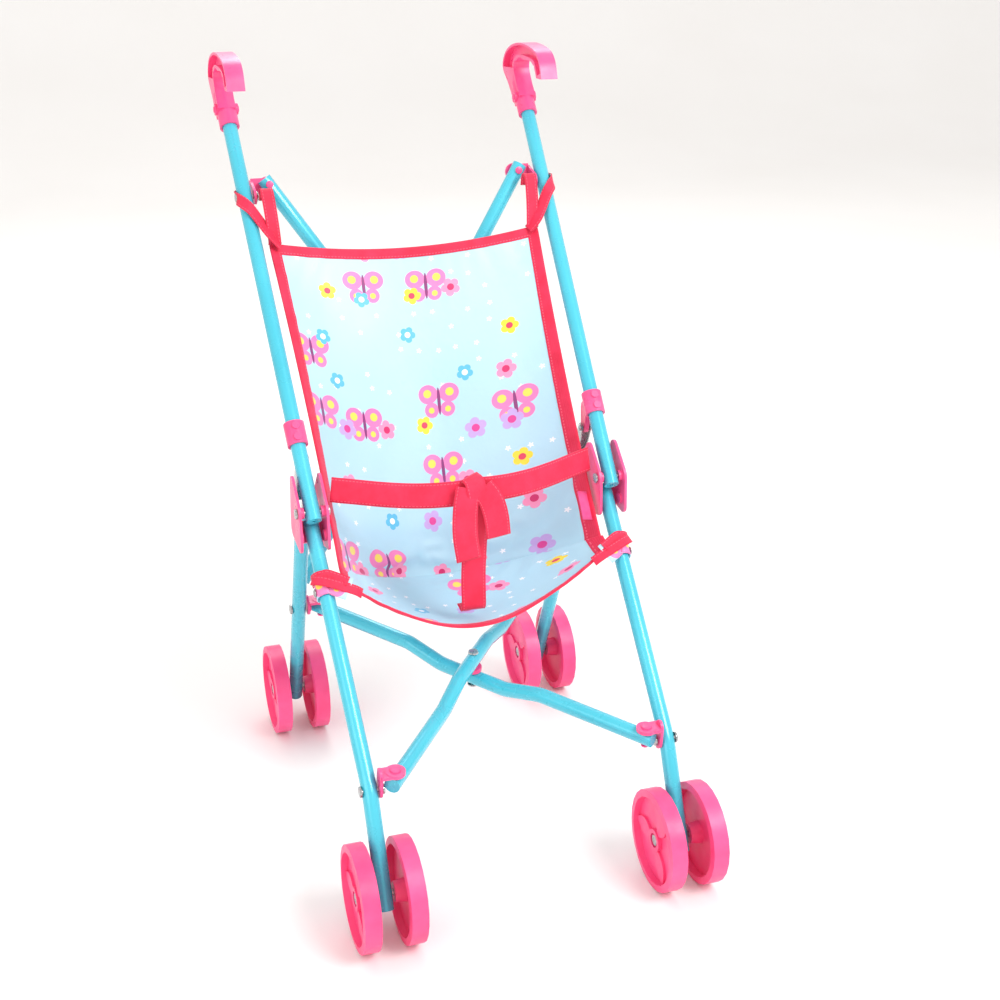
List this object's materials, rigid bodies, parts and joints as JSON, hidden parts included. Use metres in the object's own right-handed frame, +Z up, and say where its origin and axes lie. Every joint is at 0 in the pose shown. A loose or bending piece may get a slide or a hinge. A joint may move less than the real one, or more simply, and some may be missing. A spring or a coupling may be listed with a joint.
{
  "type": "doll stroller",
  "caption": "Folding umbrella-style doll stroller: tubular side frames with hook handles, crossed braces, sling seat with lap belt, and paired small wheels.",
  "frame": {"origin": "middle of the object's footprint on the floor, under the centre of its box", "axes": "+Z up, +X to the stroller's left (the right of a person who faces it), the front faces -Y"},
  "size_m": [0.2714, 0.4754, 0.5566],
  "materials": {
    "tube": "gloss turquoise enamel on steel tube",
    "plastic": "pink moulded plastic, satin gloss",
    "steel": "nickel-plated rivets, bolts and axles",
    "webbing": "coral red woven tape with stitched ends",
    "cloth": "pale blue glossy printed satin with red bound edges",
    "wheel": "pink moulded plastic wheel"
  },
  "bodies": {
    "left_front": {"front_axle_left": "steel", "front_bracket_bolt_left": "steel", "front_leg_left": "tube", "knee_bracket_left": "plastic", "knee_pin_left": "steel", "lap_belt_left": "webbing", "lap_belt_right": "webbing", "rear_leg_pin_left": "steel"},
    "left_handle": {"handle_grip_left": "plastic", "handle_tube_left": "tube", "upper_bolt_left": "steel"},
    "right_handle": {"handle_grip_right": "plastic", "handle_tube_right": "tube", "upper_bolt_right": "steel"},
    "left_sleeve": {"sleeve_left": "plastic"},
    "left_link": {"link_left": "steel"},
    "left_rear_leg": {"rear_axle_left": "steel", "rear_bracket_bolt_left": "steel", "rear_leg_left": "tube"},
    "left_upper_bracket": {"upper_bracket_left": "plastic"},
    "right_sleeve": {"sleeve_right": "plastic"},
    "right_link": {"link_right": "steel"},
    "right_rear_leg": {"rear_axle_right": "steel", "rear_bracket_bolt_right": "steel", "rear_leg_right": "tube"},
    "right_upper_bracket": {"upper_bracket_right": "plastic"},
    "left_front_bracket": {"front_bracket_left": "plastic"},
    "lower_cross_a": {"lower_cross_a": "tube", "lower_cross_rivet": "steel", "lower_spacer": "plastic"},
    "lower_cross_b": {"lower_cross_b": "tube"},
    "right_front_bracket": {"front_bracket_right": "plastic"},
    "right_front": {"front_axle_right": "steel", "front_bracket_bolt_right": "steel", "front_leg_right": "tube", "knee_bracket_right": "plastic", "knee_pin_right": "steel", "rear_leg_pin_right": "steel"},
    "left_rear_bracket": {"rear_bracket_left": "plastic"},
    "right_rear_bracket": {"rear_bracket_right": "plastic"},
    "back_cross_a": {"back_cross_a": "tube", "back_cross_rivet": "steel"},
    "back_cross_b": {"back_cross_b": "tube"},
    "seat_panel": {"crotch_strap": "webbing", "seat_panel": "cloth"},
    "back_panel": {"back_panel": "cloth", "top_strap_left": "webbing", "top_strap_right": "webbing"},
    "wheel_front_left_outer": {"wheel_front_left_outer": "wheel"},
    "wheel_front_left_inner": {"wheel_front_left_inner": "wheel"},
    "wheel_front_right_outer": {"wheel_front_right_outer": "wheel"},
    "wheel_front_right_inner": {"wheel_front_right_inner": "wheel"},
    "wheel_rear_left_outer": {"wheel_rear_left_outer": "wheel"},
    "wheel_rear_left_inner": {"wheel_rear_left_inner": "wheel"},
    "wheel_rear_right_outer": {"wheel_rear_right_outer": "wheel"},
    "wheel_rear_right_inner": {"wheel_rear_right_inner": "wheel"}
  },
  "joints": [
    {"name": "fold", "type": "hinge", "parent": "left_front", "child": "left_handle", "pos_m": [0.1162, -0.03484, 0.25591], "axis": [1, 0, 0], "range_deg": [0, 50.59], "deforming": ["back_panel", "seat_panel", "crotch_strap", "lap_belt_left", "lap_belt_right", "top_strap_left", "top_strap_right"]},
    {"name": "right_handle_fold", "type": "hinge", "parent": "right_front", "child": "right_handle", "pos_m": [-0.1162, -0.03484, 0.25591], "axis": [1, 0, 0], "range_deg": [0, 50.59]},
    {"name": "left_sleeve_slide", "type": "slide", "parent": "left_handle", "child": "left_sleeve", "axis": [0.0266, 0.6758, 0.7366], "range_m": [-0.04119, 0]},
    {"name": "left_link_pivot", "type": "hinge", "parent": "left_sleeve", "child": "left_link", "pos_m": [0.1135, 0.01222, 0.28058], "axis": [1, 0, 0], "range_deg": [-19.94, 0]},
    {"name": "left_rear_leg_fold", "type": "hinge", "parent": "left_front", "child": "left_rear_leg", "pos_m": [0.1135, 0.025, 0.22211], "axis": [1, 0, 0], "range_deg": [0, 42.42]},
    {"name": "left_upper_bracket_pivot", "type": "hinge", "parent": "left_handle", "child": "left_upper_bracket", "pos_m": [0.1252, 0.14493, 0.45187], "axis": [1, 0, 0], "range_deg": [-7.14, 0]},
    {"name": "right_sleeve_slide", "type": "slide", "parent": "right_handle", "child": "right_sleeve", "axis": [-0.0266, 0.6758, 0.7366], "range_m": [-0.04119, 0]},
    {"name": "right_link_pivot", "type": "hinge", "parent": "right_sleeve", "child": "right_link", "pos_m": [-0.1135, 0.01222, 0.28058], "axis": [1, 0, 0], "range_deg": [-19.94, 0]},
    {"name": "right_rear_leg_fold", "type": "hinge", "parent": "right_front", "child": "right_rear_leg", "pos_m": [-0.1135, 0.025, 0.22211], "axis": [1, 0, 0], "range_deg": [0, 42.42]},
    {"name": "right_upper_bracket_pivot", "type": "hinge", "parent": "right_handle", "child": "right_upper_bracket", "pos_m": [-0.1252, 0.14493, 0.45187], "axis": [1, 0, 0], "range_deg": [-7.14, 0]},
    {"name": "left_front_bracket_pivot", "type": "hinge", "parent": "left_front", "child": "left_front_bracket", "pos_m": [0.1114, -0.16981, 0.101], "axis": [1, 0, 0], "range_deg": [0, 9.32]},
    {"name": "lower_cross_a_pivot", "type": "hinge", "parent": "left_front_bracket", "child": "lower_cross_a", "pos_m": [0.0935, -0.17161, 0.1065], "axis": [0, -0.0893, 0.996], "range_deg": [-29.36, 0]},
    {"name": "lower_cross_scissor", "type": "hinge", "parent": "lower_cross_a", "child": "lower_cross_b", "pos_m": [0, -0.05176, 0.11725], "axis": [0, -0.0893, 0.996], "range_deg": [0, 58.71]},
    {"name": "right_front_bracket_pivot", "type": "hinge", "parent": "lower_cross_b", "child": "right_front_bracket", "pos_m": [-0.0935, -0.17161, 0.1065], "axis": [0, -0.0893, 0.996], "range_deg": [-29.36, 0]},
    {"name": "right_front_pivot", "type": "hinge", "parent": "right_front_bracket", "child": "right_front", "pos_m": [-0.1114, -0.16981, 0.101], "axis": [1, 0, 0], "range_deg": [-9.32, 0]},
    {"name": "left_rear_bracket_pivot", "type": "hinge", "parent": "lower_cross_b", "child": "left_rear_bracket", "pos_m": [0.0935, 0.06809, 0.128], "axis": [0, -0.0893, 0.996], "range_deg": [-29.36, 0]},
    {"name": "right_rear_bracket_pivot", "type": "hinge", "parent": "lower_cross_a", "child": "right_rear_bracket", "pos_m": [-0.0935, 0.06809, 0.128], "axis": [0, -0.0893, 0.996], "range_deg": [0, 29.36]},
    {"name": "back_cross_a_pivot", "type": "hinge", "parent": "left_upper_bracket", "child": "back_cross_a", "pos_m": [0.1031, 0.15279, 0.4587], "axis": [0, -0.9679, 0.2513], "range_deg": [0, 23.53]},
    {"name": "back_cross_scissor", "type": "hinge", "parent": "back_cross_a", "child": "back_cross_b", "pos_m": [0, 0.11349, 0.30735], "axis": [0, -0.9679, 0.2513], "range_deg": [-47.06, 0]},
    {"name": "seat_panel_turn", "type": "hinge", "parent": "left_front", "child": "seat_panel", "pos_m": [0.1025, -0.06931, 0.213], "axis": [1, 0, 0], "range_deg": [0, 15.82]},
    {"name": "back_panel_turn", "type": "hinge", "parent": "left_handle", "child": "back_panel", "pos_m": [0.111, 0.12169, 0.419], "axis": [1, 0, 0], "range_deg": [-11.12, 0]},
    {"name": "wheel_front_left_outer_spin", "type": "hinge", "parent": "left_front", "child": "wheel_front_left_outer", "pos_m": [0.127, -0.20051, 0.03718], "axis": [1, 0, 0], "continuous": true},
    {"name": "wheel_front_left_inner_spin", "type": "hinge", "parent": "left_front", "child": "wheel_front_left_inner", "pos_m": [0.0948, -0.20051, 0.03718], "axis": [1, 0, 0], "continuous": true},
    {"name": "wheel_front_right_outer_spin", "type": "hinge", "parent": "right_front", "child": "wheel_front_right_outer", "pos_m": [-0.127, -0.20051, 0.03718], "axis": [1, 0, 0], "continuous": true},
    {"name": "wheel_front_right_inner_spin", "type": "hinge", "parent": "right_front", "child": "wheel_front_right_inner", "pos_m": [-0.0948, -0.20051, 0.03718], "axis": [1, 0, 0], "continuous": true},
    {"name": "wheel_rear_left_outer_spin", "type": "hinge", "parent": "left_rear_leg", "child": "wheel_rear_left_outer", "pos_m": [0.127, 0.10589, 0.03718], "axis": [1, 0, 0], "continuous": true},
    {"name": "wheel_rear_left_inner_spin", "type": "hinge", "parent": "left_rear_leg", "child": "wheel_rear_left_inner", "pos_m": [0.0948, 0.10589, 0.03718], "axis": [1, 0, 0], "continuous": true},
    {"name": "wheel_rear_right_outer_spin", "type": "hinge", "parent": "right_rear_leg", "child": "wheel_rear_right_outer", "pos_m": [-0.127, 0.10589, 0.03718], "axis": [1, 0, 0], "continuous": true},
    {"name": "wheel_rear_right_inner_spin", "type": "hinge", "parent": "right_rear_leg", "child": "wheel_rear_right_inner", "pos_m": [-0.0948, 0.10589, 0.03718], "axis": [1, 0, 0], "continuous": true}
  ],
  "couplings": [
    {"joint": "right_handle_fold", "follows": "fold", "ratio": 1},
    {"joint": "left_sleeve_slide", "follows": "fold", "m_per_rad": -0.046656},
    {"joint": "left_link_pivot", "follows": "fold", "ratio": -0.39421},
    {"joint": "left_rear_leg_fold", "follows": "fold", "ratio": 0.83863},
    {"joint": "left_upper_bracket_pivot", "follows": "fold", "ratio": -0.14118},
    {"joint": "right_sleeve_slide", "follows": "fold", "m_per_rad": -0.046656},
    {"joint": "right_link_pivot", "follows": "fold", "ratio": -0.39421},
    {"joint": "right_rear_leg_fold", "follows": "fold", "ratio": 0.83863},
    {"joint": "right_upper_bracket_pivot", "follows": "fold", "ratio": -0.14118},
    {"joint": "left_front_bracket_pivot", "follows": "fold", "ratio": 0.18429},
    {"joint": "lower_cross_a_pivot", "follows": "fold", "ratio": -0.58035},
    {"joint": "lower_cross_scissor", "follows": "fold", "ratio": 1.1607},
    {"joint": "right_front_bracket_pivot", "follows": "fold", "ratio": -0.58035},
    {"joint": "right_front_pivot", "follows": "fold", "ratio": -0.18429},
    {"joint": "left_rear_bracket_pivot", "follows": "fold", "ratio": -0.58035},
    {"joint": "right_rear_bracket_pivot", "follows": "fold", "ratio": 0.58035},
    {"joint": "back_cross_a_pivot", "follows": "fold", "ratio": 0.46516},
    {"joint": "back_cross_scissor", "follows": "fold", "ratio": -0.93033},
    {"joint": "seat_panel_turn", "follows": "fold", "ratio": 0.31266},
    {"joint": "back_panel_turn", "follows": "fold", "ratio": -0.21988}
  ]
}
